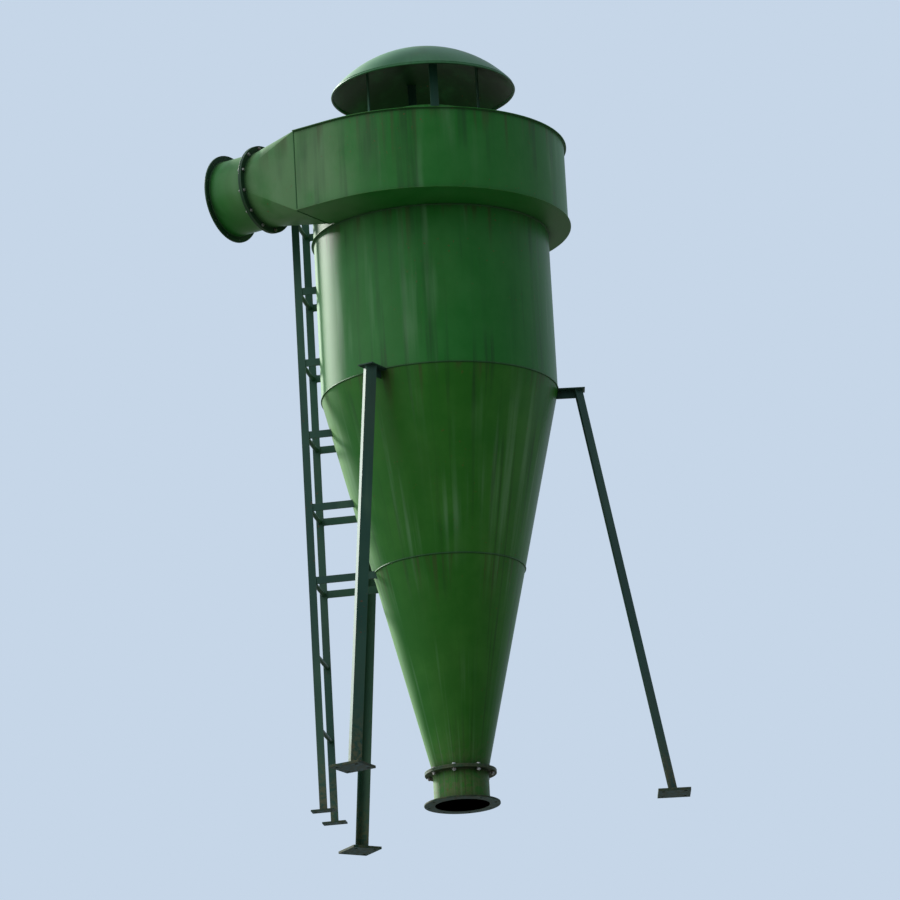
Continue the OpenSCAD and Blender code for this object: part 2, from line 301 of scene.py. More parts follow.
def build_fade_and_painted_sun():
    """Paint that is bleached in soft patches, and painted pale all over the side that the sun reaches, as
    painted sunlight.
    """
    tree, given, made = shader_group("fade_and_painted_sun", [
        ("Coordinates", "NodeSocketVector", None), ("Paint", "NodeSocketColor", None),
        ("Bleached", "NodeSocketColor", None), ("Painted Sunlight", "NodeSocketColor", None),
        ("Sun Side", "NodeSocketVector", SUN_SIDE), ("Amount", "NodeSocketFloat", 0.5),
    ], [("Colour", "NodeSocketColor"), ("Mask", "NodeSocketFloat")])
    broad = stretched_noise(tree, given["Coordinates"], (1.0, 1.0, 0.5), 1.6, detail=3.0)
    close = stretched_noise(tree, given["Coordinates"], (1.0, 1.0, 0.8), 9.0, detail=5.0)
    patches = maths(tree, "MULTIPLY_ADD", close, 0.35, times(tree, broad, 0.65))
    normal = put(tree, "ShaderNodeNewGeometry").outputs["Normal"]
    # Painted sunlight: the side that faces the sun lamp is painted paler, as the light would show it
    lit = ramp(tree, vector_maths(tree, "DOT_PRODUCT", normal, given["Sun Side"]), 0.0, 0.5)
    mask = times(tree, ramp(tree, patches, 0.38, 0.66), given["Amount"])
    painted_sunlight = times(tree, lit, maths(tree, "MULTIPLY_ADD", mask, 0.4, 0.75))
    colour = mixed(tree, mask, given["Paint"], given["Bleached"])
    tree.links.new(mixed(tree, painted_sunlight, colour, given["Painted Sunlight"]), made["Colour"])
    tree.links.new(maths(tree, "MAXIMUM", mask, painted_sunlight), made["Mask"])
    return tree


def build_rain_streaks():
    """Upright streaks that rain leaves on sheet, broken up along their length."""
    tree, given, made = shader_group("rain_streaks", [
        ("Coordinates", "NodeSocketVector", None), ("Fineness", "NodeSocketFloat", 26.0),
        ("Shift", "NodeSocketFloat", 0.0), ("Amount", "NodeSocketFloat", 0.5),
    ], [("Mask", "NodeSocketFloat")])
    fineness = given["Fineness"]
    stretch = put(tree, "ShaderNodeCombineXYZ", {0: fineness, 1: fineness, 2: 0.9}).outputs[0]
    side = round_the_axis(tree, given["Coordinates"])
    place = vector_maths(tree, "MULTIPLY_ADD", side, stretch, given["Shift"])
    lines = put(tree, "ShaderNodeTexNoise", {"Vector": place, "Scale": 1.0, "Detail": 3.0}).outputs[0]
    shifted = vector_maths(tree, "ADD", given["Coordinates"], given["Shift"])
    breaks = stretched_noise(tree, shifted, (1.5, 1.5, 1.2), 1.4, detail=2.0)
    mask = times(tree, ramp(tree, lines, 0.50, 0.72), ramp(tree, breaks, 0.38, 0.62))
    mask = times(tree, mask, steepness(tree))
    tree.links.new(times(tree, mask, given["Amount"]), made["Mask"])
    return tree


def build_corner_dirt_and_shade():
    """Dirt that gathers where surfaces meet, with painted shade: darker where nearby surfaces hem the
    surface in.
    """
    tree, given, made = shader_group("corner_dirt_and_shade", [
        ("Coordinates", "NodeSocketVector", None), ("Reach", "NodeSocketFloat", 0.05),
        ("Amount", "NodeSocketFloat", 0.5),
    ], [("Mask", "NodeSocketFloat")])
    # Painted shade: ambient occlusion darkens the surface where other surfaces stand close round it
    near = put(tree, "ShaderNodeAmbientOcclusion", {"Distance": given["Reach"]}, samples=6).outputs["AO"]
    hidden = ramp(tree, near, 0.95, 0.35)
    specks = stretched_noise(tree, given["Coordinates"], EVEN, 30.0)
    mask = times(tree, hidden, maths(tree, "MULTIPLY_ADD", specks, 0.8, 0.4))
    mask = times(tree, mask, given["Amount"])
    tree.links.new(put(tree, "ShaderNodeClamp", {0: mask}).outputs[0], made["Mask"])
    return tree


def build_underside_grime_and_shade():
    """Dark grime on what faces down, as the outlet air leaves it inside the cap, and painted shade on the
    undersides.
    """
    tree, given, made = shader_group("underside_grime_and_shade", [
        ("Coordinates", "NodeSocketVector", None), ("Amount", "NodeSocketFloat", 0.5),
    ], [("Mask", "NodeSocketFloat")])
    clouds = stretched_noise(tree, given["Coordinates"], EVEN, 7.0)
    # Painted shade: what faces down is darkened
    mask = times(tree, ramp(tree, facing_up(tree), -0.35, -0.75), ramp(tree, clouds, 0.1, 0.6))
    tree.links.new(times(tree, mask, given["Amount"]), made["Mask"])
    return tree


def build_settled_dust():
    """Brown dust: a thin film, dried marks on what faces up, and splashes near the floor."""
    tree, given, made = shader_group("settled_dust", [
        ("Coordinates", "NodeSocketVector", None), ("Amount", "NodeSocketFloat", 0.3),
        ("Splash Height", "NodeSocketFloat", 0.35), ("Splash Strength", "NodeSocketFloat", 3.0),
    ], [("Mask", "NodeSocketFloat")])
    place = given["Coordinates"]
    clouds = stretched_noise(tree, place, (1.0, 1.0, 0.35), 2.6, detail=5.0)
    film = times(tree, ramp(tree, clouds, 0.46, 0.72), 0.5)
    blots = stretched_noise(tree, place, EVEN, 4.5, detail=6.0, roughness=0.65)
    dried = maths(tree, "MULTIPLY_ADD", ramp(tree, blots, 0.44, 0.60), 2.2, 0.4)
    settled = times(tree, ramp(tree, facing_up(tree), 0.5, 1.0), dried)
    drops = ramp(tree, stretched_noise(tree, place, EVEN, 45.0), 0.35, 0.60)
    near_floor = ramp(tree, upward(tree, place), given["Splash Height"], 0.0)
    splashes = times(tree, near_floor, drops)
    cover = maths(tree, "ADD", film, settled)
    cover = maths(tree, "MULTIPLY_ADD", splashes, given["Splash Strength"], cover)
    mask = times(tree, cover, given["Amount"])
    tree.links.new(put(tree, "ShaderNodeClamp", {0: mask}).outputs[0], made["Mask"])
    return tree


def build_inlet_bloom_and_light():
    """A pale grey bloom on the inlet box, partly chalking and partly painted light, which thins out round
    the scroll and along the transition.
    """
    tree, given, made = shader_group("inlet_bloom_and_light", [
        ("Coordinates", "NodeSocketVector", None),
        ("Middle", "NodeSocketVector", (BOX_X, -THROW_R, INLET_Z)),
        ("Full", "NodeSocketFloat", 0.15), ("Reach", "NodeSocketFloat", 0.52),
        ("Amount", "NodeSocketFloat", 0.3),
    ], [("Mask", "NodeSocketFloat")])
    away = vector_maths(tree, "DISTANCE", given["Coordinates"], given["Middle"])
    near = ramp(tree, away, given["Reach"], given["Full"])
    clouds = stretched_noise(tree, given["Coordinates"], (1.0, 1.0, 0.6), 5.0)
    mask = times(tree, near, ramp(tree, clouds, 0.2, 0.6))
    tree.links.new(times(tree, mask, given["Amount"]), made["Mask"])
    return tree


def build_seam_drips():
    """Thin stains that run down from a level seam and fade."""
    tree, given, made = shader_group("seam_drips", [
        ("Coordinates", "NodeSocketVector", None), ("Seam", "NodeSocketFloat", 1.0),
        ("Reach", "NodeSocketFloat", 0.35), ("Amount", "NodeSocketFloat", 0.5),
    ], [("Mask", "NodeSocketFloat")])
    below = maths(tree, "SUBTRACT", given["Seam"], upward(tree, given["Coordinates"]))
    round_place = round_the_axis(tree, given["Coordinates"])
    lines = stretched_noise(tree, round_place, (1.0, 1.0, 0.02), 34.0, detail=3.0)
    lengths = stretched_noise(tree, round_place, (1.0, 1.0, 0.01), 11.0, detail=1.0)
    ends = times(tree, given["Reach"], ramp(tree, lengths, 0.30, 0.70))
    run = maths(tree, "DIVIDE", below, maths(tree, "MAXIMUM", ends, 0.01))
    mask = times(tree, ramp(tree, lines, 0.50, 0.64), ramp(tree, run, 1.0, 0.0))
    mask = times(tree, mask, ramp(tree, below, 0.0, 0.006))
    mask = times(tree, mask, steepness(tree))
    tree.links.new(times(tree, mask, given["Amount"]), made["Mask"])
    return tree


def build_rust_specks():
    """Small specks of rust, in loose groups."""
    tree, given, made = shader_group("rust_specks", [
        ("Coordinates", "NodeSocketVector", None), ("Amount", "NodeSocketFloat", 0.7),
    ], [("Mask", "NodeSocketFloat")])
    groups = stretched_noise(tree, given["Coordinates"], EVEN, 2.2, detail=2.0)
    specks = stretched_noise(tree, given["Coordinates"], (1.0, 1.0, 0.8), 75.0, detail=3.0)
    mask = times(tree, ramp(tree, specks, 0.66, 0.73), ramp(tree, groups, 0.45, 0.65))
    tree.links.new(times(tree, mask, given["Amount"]), made["Mask"])
    return tree


def build_worn_edges():
    """Wear along edges, in chips."""
    tree, given, made = shader_group("worn_edges", [
        ("Coordinates", "NodeSocketVector", None), ("Width", "NodeSocketFloat", 0.003),
        ("Amount", "NodeSocketFloat", 0.5),
    ], [("Mask", "NodeSocketFloat")])
    sharp = put(tree, "ShaderNodeNewGeometry").outputs["Normal"]
    soft = put(tree, "ShaderNodeBevel", {0: given["Width"]}, samples=4).outputs[0]
    edge = ramp(tree, vector_maths(tree, "DOT_PRODUCT", sharp, soft), 0.98, 0.80)
    chips = stretched_noise(tree, given["Coordinates"], EVEN, 38.0, detail=5.0)
    mask = times(tree, edge, ramp(tree, chips, 0.42, 0.60))
    tree.links.new(times(tree, mask, given["Amount"]), made["Mask"])
    return tree


def build_rolled_sheet():
    """The slow waves of rolled sheet and the fine skin of brushed paint, as heights in metres."""
    tree, given, made = shader_group("rolled_sheet", [
        ("Coordinates", "NodeSocketVector", None), ("Waves", "NodeSocketFloat", 0.0015),
        ("Skin", "NodeSocketFloat", 0.0001),
    ], [("Height", "NodeSocketFloat")])
    slow = stretched_noise(tree, given["Coordinates"], (1.0, 1.0, 0.7), 3.2, detail=1.0)
    fine = stretched_noise(tree, given["Coordinates"], (1.0, 1.0, 0.35), 160.0, detail=3.0)
    height = times(tree, slow, given["Waves"])
    tree.links.new(maths(tree, "MULTIPLY_ADD", fine, given["Skin"], height), made["Height"])
    return tree


FADE_AND_PAINTED_SUN = build_fade_and_painted_sun()
RAIN_STREAKS = build_rain_streaks()
CORNER_DIRT_AND_SHADE = build_corner_dirt_and_shade()
UNDERSIDE_GRIME_AND_SHADE = build_underside_grime_and_shade()
SETTLED_DUST = build_settled_dust()
INLET_BLOOM_AND_LIGHT = build_inlet_bloom_and_light()
SEAM_DRIPS = build_seam_drips()
RUST_SPECKS = build_rust_specks()
WORN_EDGES = build_worn_edges()
ROLLED_SHEET = build_rolled_sheet()

RUST = rgb(104, 58, 34)
# A dark colour for soot streaks, and for the painted shade in corners and underneath
SOOT_AND_SHADE = rgb(22, 34, 22)
CHALK = rgb(118, 158, 120)
DUST = rgb(104, 100, 74)
# A pale grey for the bloom at the inlet, partly chalking and partly painted light
BLOOM_AND_LIGHT = rgb(146, 156, 132)
STAIN = rgb(62, 60, 34)
# How much light the paint throws back as gloss
PAINT_GLOSS = 0.18
# Chalky streaks are broader and weaker than the sooty ones, and lie elsewhere
CHALK_SHARE = 0.7
CHALK_FINENESS = 17.0
CHALK_SHIFT = 3.7
# Bleached paint, dirt and rust are rougher than their ground by so much
FADE_ROUGHER = 0.18
DIRT_ROUGHER = 0.3
RUST_ROUGHER = 0.4


def placed(tree, group, values):
    """Places a shared effect in a material with its own values, and returns its outputs."""
    return put(tree, "ShaderNodeGroup", values, node_tree=group).outputs


def painted_steel(
        name, paint, bleached, painted_sunlight, *, fade, streaks, dirt_and_shade, dust, wear, roughness, waves,
        seams=(), grime_and_shade=0.1, bloom_and_light=0.0):
    """Weathered paint on steel, with one cover laid over another.

    The paint is bleached in patches, and painted paler towards the sun as painted sunlight. Over it lie a
    bloom at the inlet, partly painted light, streaks, stains under the seams, dust, dirt and painted shade
    in the corners, grime and painted shade underneath, and rust in specks and chips.
    """
    material = bpy.data.materials.new(name)
    material.use_nodes = True
    tree = material.node_tree
    shader = tree.nodes["Principled BSDF"]
    shader.inputs["Specular IOR Level"].default_value = PAINT_GLOSS
    place = put(tree, "ShaderNodeTexCoord").outputs["Object"]

    def cover(group, **values):
        """The mask of a shared effect on this paint."""
        return placed(tree, group, {"Coordinates": place, **values})["Mask"]

    # Paint bleached in patches, with painted sunlight on the side that faces the sun lamp
    faded_and_sunlit = placed(tree, FADE_AND_PAINTED_SUN, {
        "Coordinates": place, "Paint": paint, "Bleached": bleached, "Painted Sunlight": painted_sunlight, "Amount": fade,
    })
    film = cover(SETTLED_DUST, Amount=dust)
    # Dirt and painted shade where surfaces meet and hem each other in
    corners = cover(CORNER_DIRT_AND_SHADE, Amount=dirt_and_shade)
    chips = cover(WORN_EDGES, Amount=wear)
    chalky = cover(RAIN_STREAKS, Fineness=CHALK_FINENESS, Shift=CHALK_SHIFT, Amount=streaks * CHALK_SHARE)
    # A pale bloom round the inlet: partly chalking, partly painted light
    layers = [(cover(INLET_BLOOM_AND_LIGHT, Amount=bloom_and_light), BLOOM_AND_LIGHT)] if bloom_and_light else []
    layers += [(chalky, CHALK), (cover(RAIN_STREAKS, Amount=streaks), SOOT_AND_SHADE)]
    layers += [(cover(SEAM_DRIPS, Seam=seam), STAIN) for seam in seams]
    # Dirt and painted shade in the corners, and grime and painted shade on what faces down
    layers += [(film, DUST), (corners, SOOT_AND_SHADE), (cover(UNDERSIDE_GRIME_AND_SHADE, Amount=grime_and_shade), SOOT_AND_SHADE)]
    layers += [(cover(RUST_SPECKS), RUST), (chips, RUST)]
    colour = faded_and_sunlit["Colour"]
    for mask, laid in layers:
        colour = mixed(tree, mask, colour, laid)
    tree.links.new(colour, shader.inputs["Base Color"])
    rough = maths(tree, "MULTIPLY_ADD", faded_and_sunlit["Mask"], FADE_ROUGHER, roughness)
    dull = maths(tree, "ADD", maths(tree, "ADD", corners, chips), film)
    rough = maths(tree, "MULTIPLY_ADD", dull, DIRT_ROUGHER, rough)
    tree.links.new(rough, shader.inputs["Roughness"])
    height = placed(tree, ROLLED_SHEET, {"Coordinates": place, "Waves": waves})["Height"]
    bump = put(tree, "ShaderNodeBump", {"Height": height, "Distance": 1.0})
    tree.links.new(bump.outputs[0], shader.inputs["Normal"])
    return material


def bare_steel(name, colour, roughness, rust):
    """Zinc-plated steel of bolts, spotted with rust."""
    material = bpy.data.materials.new(name)
    material.use_nodes = True
    tree = material.node_tree
    shader = tree.nodes["Principled BSDF"]
    shader.inputs["Metallic"].default_value = 0.85
    place = put(tree, "ShaderNodeTexCoord").outputs["Object"]
    spots = ramp(tree, stretched_noise(tree, place, EVEN, 60.0), 0.50, 0.62)
    mask = times(tree, spots, rust)
    tree.links.new(mixed(tree, mask, colour, RUST), shader.inputs["Base Color"])
    rough = maths(tree, "MULTIPLY_ADD", mask, RUST_ROUGHER, roughness)
    tree.links.new(rough, shader.inputs["Roughness"])
    return material


# The third colour of each paint is painted sunlight: the paler colour of the side that faces the sun lamp
BODY_PAINT = painted_steel(
    "body_paint", rgb(22, 102, 28), rgb(70, 136, 74), rgb(112, 160, 106),
    fade=0.32, streaks=0.50, dirt_and_shade=0.60, dust=0.14, wear=0.5, roughness=0.40, waves=0.0016,
    seams=(TOP_Z, SCROLL_Z), bloom_and_light=0.26)
CONE_PAINT = painted_steel(
    "cone_paint", rgb(30, 98, 16), rgb(80, 140, 58), rgb(114, 160, 96),
    fade=0.34, streaks=0.50, dirt_and_shade=0.60, dust=0.15, wear=0.5, roughness=0.42, waves=0.0014,
    seams=(JUNCTION_Z, SEAM_Z))
# The cap is painted much darker underneath: grime and painted shade
CAP_PAINT = painted_steel(
    "cap_paint", rgb(30, 92, 48), rgb(96, 148, 112), rgb(128, 170, 136),
    fade=0.40, streaks=0.30, dirt_and_shade=0.55, dust=0.08, wear=0.5, roughness=0.36, waves=0.0010,
    grime_and_shade=0.8)
FLANGE_PAINT = painted_steel(
    "flange_paint", rgb(24, 58, 34), rgb(56, 92, 66), rgb(64, 100, 72),
    fade=0.30, streaks=0.20, dirt_and_shade=0.60, dust=0.16, wear=0.6, roughness=0.44, waves=0.0003)
FRAME_PAINT = painted_steel(
    "frame_paint", rgb(28, 64, 54), rgb(64, 100, 84), rgb(70, 108, 88),
    fade=0.30, streaks=0.20, dirt_and_shade=0.55, dust=0.20, wear=0.6, roughness=0.44, waves=0.0003)
WELD_PAINT = painted_steel(
    "weld_paint", rgb(34, 84, 38), rgb(76, 118, 78), rgb(100, 144, 98),
    fade=0.25, streaks=0.30, dirt_and_shade=0.70, dust=0.20, wear=0.2, roughness=0.46, waves=0.0001)
ZINC = bare_steel("zinc", rgb(150, 152, 148), roughness=0.42, rust=0.6)

FINISHES = {
    "body_paint": BODY_PAINT, "cone_paint": CONE_PAINT, "cap_paint": CAP_PAINT,
    "flange_paint": FLANGE_PAINT, "frame_paint": FRAME_PAINT,
}


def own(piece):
    """Puts a finished piece on the one body."""
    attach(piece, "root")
    return piece


def link_mesh(name, mesh):
    """An object of that name in the scene, for a mesh or a curve."""
    piece = bpy.data.objects.new(name, mesh)
    bpy.context.scene.collection.objects.link(piece)
    return piece


def routes(paths, closed):
    """A curve with one spline along each path, as the base of a modifier."""
    curve = bpy.data.curves.new("route", "CURVE")
    curve.dimensions = "3D"
    for path in paths:
        spline = curve.splines.new("POLY")
        spline.points.add(len(path) - 1)
        for point, at in zip(spline.points, path):
            point.co = (at[0], at[1], at[2], 1.0)
        spline.use_cyclic_u = closed
    return curve


def node_tree(name, inputs):
    """An empty Geometry Nodes tree with named inputs, and its input and output nodes."""
    tree = bpy.data.node_groups.new(name, "GeometryNodeTree")
    tree.interface.new_socket("Geometry", in_out="OUTPUT", socket_type="NodeSocketGeometry")
    tree.interface.new_socket("Geometry", in_out="INPUT", socket_type="NodeSocketGeometry")
    for label, kind, default in inputs:
        socket = tree.interface.new_socket(label, in_out="INPUT", socket_type=kind)
        if default is not None:
            socket.default_value = default
    return tree, put(tree, "NodeGroupInput").outputs, put(tree, "NodeGroupOutput").inputs


def finished(tree, geometry, given, made):
    """Ends a tree: real geometry with its material."""
    real = put(tree, "GeometryNodeRealizeInstances", {0: geometry}).outputs[0]
    dressed = put(tree, "GeometryNodeSetMaterial", {0: real, "Material": given["Finish"]}).outputs[0]
    tree.links.new(dressed, made["Geometry"])


def grown(name, data, tree, values):
    """Runs a tree on a curve or mesh with its inputs set, and keeps the result as a plain mesh."""
    source = link_mesh(name + "_source", data)
    modifier = source.modifiers.new("grow", "NODES")
    modifier.node_group = tree
    for item in tree.interface.items_tree:
        if item.item_type == "SOCKET" and item.in_out == "INPUT" and item.name in values:
            modifier[item.identifier] = values[item.name]
    bpy.context.view_layer.update()
    evaluated = source.evaluated_get(bpy.context.evaluated_depsgraph_get())
    mesh = bpy.data.meshes.new_from_object(evaluated)
    mesh.name = name
    bpy.data.objects.remove(source)
    return mesh


def build_scroll_tree():
    """The scroll's standing wall: a spiral that closes on the barrel, and the inlet box's two sides."""
    tree, given, made = node_tree("scroll_wall", [
        ("Barrel", "NodeSocketFloat", 0.55), ("Throw", "NodeSocketFloat", 0.25),
        ("Start", "NodeSocketFloat", 0.0), ("Sweep", "NodeSocketFloat", 3.5),
        ("Box", "NodeSocketFloat", 0.2), ("Height", "NodeSocketFloat", 0.38),
        ("Level", "NodeSocketFloat", 2.9), ("Sheet", "NodeSocketFloat", 0.003),
        ("Steps", "NodeSocketInt", SCROLL_STEPS), ("Finish", "NodeSocketMaterial", None),
    ])
    half_sheet = times(tree, given["Sheet"], 0.5)

    def straight(from_x, y):
        """A line of the inlet box's side, from its open end to under the axis."""
        start = put(tree, "ShaderNodeCombineXYZ", {0: from_x, 1: y}).outputs[0]
        end = put(tree, "ShaderNodeCombineXYZ", {1: y}).outputs[0]
        return put(tree, "GeometryNodeCurvePrimitiveLine", {"Start": start, "End": end}).outputs[0]

    share = put(tree, "GeometryNodeSplineParameter").outputs["Factor"]
    turned = times(tree, share, math.tau)
    angle = maths(tree, "ADD", turned, given["Start"])
    closing = maths(tree, "MINIMUM", maths(tree, "DIVIDE", turned, given["Sweep"]), 1.0)
    wave = maths(tree, "COSINE", times(tree, closing, math.pi))
    opened = times(tree, given["Throw"], maths(tree, "MULTIPLY_ADD", wave, 0.5, 0.5))
    radius = maths(tree, "ADD", opened, maths(tree, "SUBTRACT", given["Barrel"], half_sheet))
    across = times(tree, radius, maths(tree, "COSINE", angle))
    along = times(tree, radius, maths(tree, "SINE", angle))
    place = put(tree, "ShaderNodeCombineXYZ", {0: across, 1: along}).outputs[0]
    line = put(tree, "GeometryNodeCurvePrimitiveLine").outputs[0]
    fine = put(tree, "GeometryNodeResampleCurve", {"Curve": line, "Count": given["Steps"]}).outputs[0]
    spiral = put(tree, "GeometryNodeSetPosition", {"Geometry": fine, "Position": place}).outputs[0]

    box_x = times(tree, given["Box"], -1.0)
    outer_y = maths(tree, "SUBTRACT", half_sheet, maths(tree, "ADD", given["Barrel"], given["Throw"]))
    inner_y = times(tree, maths(tree, "ADD", given["Barrel"], half_sheet), -1.0)
    plan = put(tree, "GeometryNodeJoinGeometry")
    for curve in (spiral, straight(box_x, outer_y), straight(box_x, inner_y)):
        tree.links.new(curve, plan.inputs[0])
    upright = put(tree, "GeometryNodeSetCurveNormal", {"Curve": plan.outputs[0]}, mode="Z_UP").outputs[0]
    values = {"Width": given["Sheet"], "Height": given["Height"]}
    section = put(tree, "GeometryNodeCurvePrimitiveQuadrilateral", values).outputs[0]
    values = {"Curve": upright, "Profile Curve": section, "Fill Caps": True}
    wall = put(tree, "GeometryNodeCurveToMesh", values).outputs[0]
    level = put(tree, "ShaderNodeCombineXYZ", {2: given["Level"]}).outputs[0]
    lifted = put(tree, "GeometryNodeTransform", {"Geometry": wall, "Translation": level}).outputs[0]
    finished(tree, lifted, given, made)
    return tree


def build_weld_tree():
    """A rippled bead that follows each curve."""
    tree, given, made = node_tree("weld_bead", [
        ("Radius", "NodeSocketFloat", 0.004), ("Ripple", "NodeSocketFloat", 0.012),
        ("Depth", "NodeSocketFloat", 0.18), ("Finish", "NodeSocketMaterial", None),
    ])
    # Three points to each ripple
    even = put(tree, "GeometryNodeResampleCurve", {"Curve": given["Geometry"]}, mode="LENGTH")
    tree.links.new(maths(tree, "DIVIDE", given["Ripple"], 3.0), even.inputs["Length"])
    along = put(tree, "GeometryNodeSplineParameter").outputs["Length"]
    phase = times(tree, maths(tree, "DIVIDE", along, given["Ripple"]), math.tau)
    swell = maths(tree, "MULTIPLY_ADD", maths(tree, "SINE", phase), given["Depth"], 1.0)
    thick = times(tree, swell, given["Radius"])
    ring = put(tree, "GeometryNodeCurvePrimitiveCircle", {"Resolution": 7, "Radius": 1.0})
    swept = put(tree, "GeometryNodeCurveToMesh", {
        "Curve": even.outputs[0], "Profile Curve": ring.outputs[0], "Scale": thick, "Fill Caps": True,
    })
    smooth = put(tree, "GeometryNodeSetShadeSmooth", {0: swept.outputs[0]}).outputs[0]
    finished(tree, smooth, given, made)
    return tree


def build_bolt_tree():
    """Hexagon bolts with washers and nuts, one at each point, along the point's own axis."""
    tree, given, made = node_tree("bolts", [
        ("Grip", "NodeSocketFloat", 0.016), ("Thread", "NodeSocketFloat", 0.010),
        ("Finish", "NodeSocketMaterial", None),
    ])
    thread = given["Thread"]
    half_grip = maths(tree, "DIVIDE", given["Grip"], 2.0)

    def disc(sides, radius, depth, height):
        """A prism of that radius and depth with its middle at that height."""
        values = {"Vertices": sides, "Radius": radius, "Depth": depth}
        solid = put(tree, "GeometryNodeMeshCylinder", values).outputs["Mesh"]
        shift = put(tree, "ShaderNodeCombineXYZ", {2: height}).outputs[0]
        return put(tree, "GeometryNodeTransform", {"Geometry": solid, "Translation": shift}).outputs[0]

    def above(*layers):
        """The height over the joint's middle of a layer, from the layers under it and half its own."""
        height = half_grip
        for layer in layers:
            height = maths(tree, "ADD", height, layer)
        return height

    def below(*layers):
        """The same on the other side of the joint."""
        return times(tree, above(*layers), -1.0)

    washer = times(tree, thread, 0.2)
    head = times(tree, thread, 0.65)
    nut = times(tree, thread, 0.8)
    tip = times(tree, thread, 0.35)
    half = {part: maths(tree, "DIVIDE", part, 2.0) for part in (washer, head, nut, tip)}
    hexagon = times(tree, thread, 0.92)
    ring = times(tree, thread, 1.05)
    shank = maths(tree, "DIVIDE", thread, 2.0)
    bolt = put(tree, "GeometryNodeJoinGeometry")
    for piece in (
        disc(20, ring, washer, above(half[washer])),
        disc(6, hexagon, head, above(washer, half[head])),
        disc(20, ring, washer, below(half[washer])),
        disc(6, hexagon, nut, below(washer, half[nut])),
        disc(16, shank, tip, below(washer, nut, half[tip])),
        disc(16, shank, given["Grip"], 0.0),
    ):
        tree.links.new(piece, bolt.inputs[0])
    way = put(tree, "GeometryNodeInputNamedAttribute", {"Name": "axis"}, data_type="FLOAT_VECTOR").outputs[0]
    upright = put(tree, "FunctionNodeAlignRotationToVector", {"Vector": way}, axis="Z").outputs[0]
    # Each hexagon is left at another angle
    index = put(tree, "GeometryNodeInputIndex").outputs[0]
    twist = put(tree, "ShaderNodeCombineXYZ", {2: times(tree, index, 1.7)}).outputs[0]
    values = {"Rotation": upright, "Rotate By": twist}
    turn = put(tree, "FunctionNodeRotateRotation", values, rotation_space="LOCAL").outputs[0]
    many = put(tree, "GeometryNodeInstanceOnPoints", {
        "Points": given["Geometry"], "Instance": bolt.outputs[0], "Rotation": turn,
    }).outputs[0]
    finished(tree, many, given, made)
    return tree


SCROLL_TREE = build_scroll_tree()
WELD_TREE = build_weld_tree()
BOLT_TREE = build_bolt_tree()


def scroll_r(angle):
    """The scroll's outside radius at an angle round the axis."""
    share = (angle - SCROLL_START) / SCROLL_SWEEP
    if share >= 1:
        return BODY_R
    return BODY_R + (THROW_R - BODY_R) * (1 + math.cos(math.pi * share)) / 2


def cone_r(z):
    """The outside radius of the cone, or of the barrel above it."""
    if z >= JUNCTION_Z:
        return BODY_R
    return CONE_R + (z - CONE_Z) * (BODY_R - CONE_R) / (JUNCTION_Z - CONE_Z)


def turned(angle, points):
    """Points turned about the upright axis."""
    turn = Matrix.Rotation(angle, 4, "Z")
    return [turn @ Vector(point) for point in points]


def around(radius, z, steps=180):
    """Points of a level circle round the axis."""
    angles = [math.tau * k / steps for k in range(steps)]
    return [Vector((radius * math.cos(a), radius * math.sin(a), z)) for a in angles]


def around_inlet(radius, x, steps=96):
    """Points of an upright circle round the inlet's middle line."""
    angles = [math.tau * k / steps for k in range(steps)]
    return [Vector((x, INLET_Y + radius * math.cos(a), INLET_Z + radius * math.sin(a))) for a in angles]


def up_the_side(angle, low, high):
    """Two points of an upright seam, each given by its radius and height."""
    return [Vector((r * math.cos(angle), r * math.sin(angle), z)) for r, z in (low, high)]


def rectangle(half_width, half_height):
    """The four corners of a rectangle round a point, in order."""
    return [
        (-half_width, -half_height), (half_width, -half_height),
        (half_width, half_height), (-half_width, half_height),
    ]


def scroll_route(z):
    """The line of the scroll's wall at a height, from the inlet box once round the axis."""
    angles = [SCROLL_START + math.tau * k / SCROLL_STEPS for k in range(SCROLL_STEPS + 1)]
    points = [Vector((scroll_r(a) * math.cos(a), scroll_r(a) * math.sin(a), z)) for a in angles]
    return [Vector((BOX_X, -THROW_R, z))] + points


def weld(name, paths, closed=False, radius=WELD_R, slot="body_paint"):
    """Weld beads along the paths."""
    values = {"Radius": radius, "Finish": WELD_PAINT if slot == "body_paint" else FINISHES[slot]}
    mesh = grown(name, routes(paths, closed), WELD_TREE, values)
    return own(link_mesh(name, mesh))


def bolts(name, places, grip, thread):
    """Bolts through a joint, at places that each give the joint's middle and the bolt's axis."""
    start = bpy.data.meshes.new(name + "_start")
    start.from_pydata([place for place, axis in places], [], [])
    axes = start.attributes.new("axis", "FLOAT_VECTOR", "POINT")
    for entry, (place, axis) in zip(axes.data, places):
        entry.vector = axis
    values = {"Grip": grip, "Thread": thread, "Finish": ZINC}
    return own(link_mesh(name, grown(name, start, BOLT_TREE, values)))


def eased(shape, edges, width, segments):
    """Rounds edges of a shape."""
    if edges:
        bmesh.ops.bevel(
            shape, geom=edges, offset=width, offset_type="OFFSET", segments=segments,
            profile=0.5, affect="EDGES", clamp_overlap=False)


def ordered_mesh(name, shape):
    """A shape as a mesh, with points and faces in order, so that each run gives the same."""
    points = sorted(shape.verts, key=lambda point: tuple(point.co))
    number = {point: k for k, point in enumerate(points)}
    faces = []
    for face in shape.faces:
        loop = [number[point] for point in face.verts]
        first = loop.index(min(loop))
        faces.append(loop[first:] + loop[:first])
    mesh = bpy.data.meshes.new(name)
    mesh.from_pydata([point.co for point in points], [], sorted(faces))
    return mesh


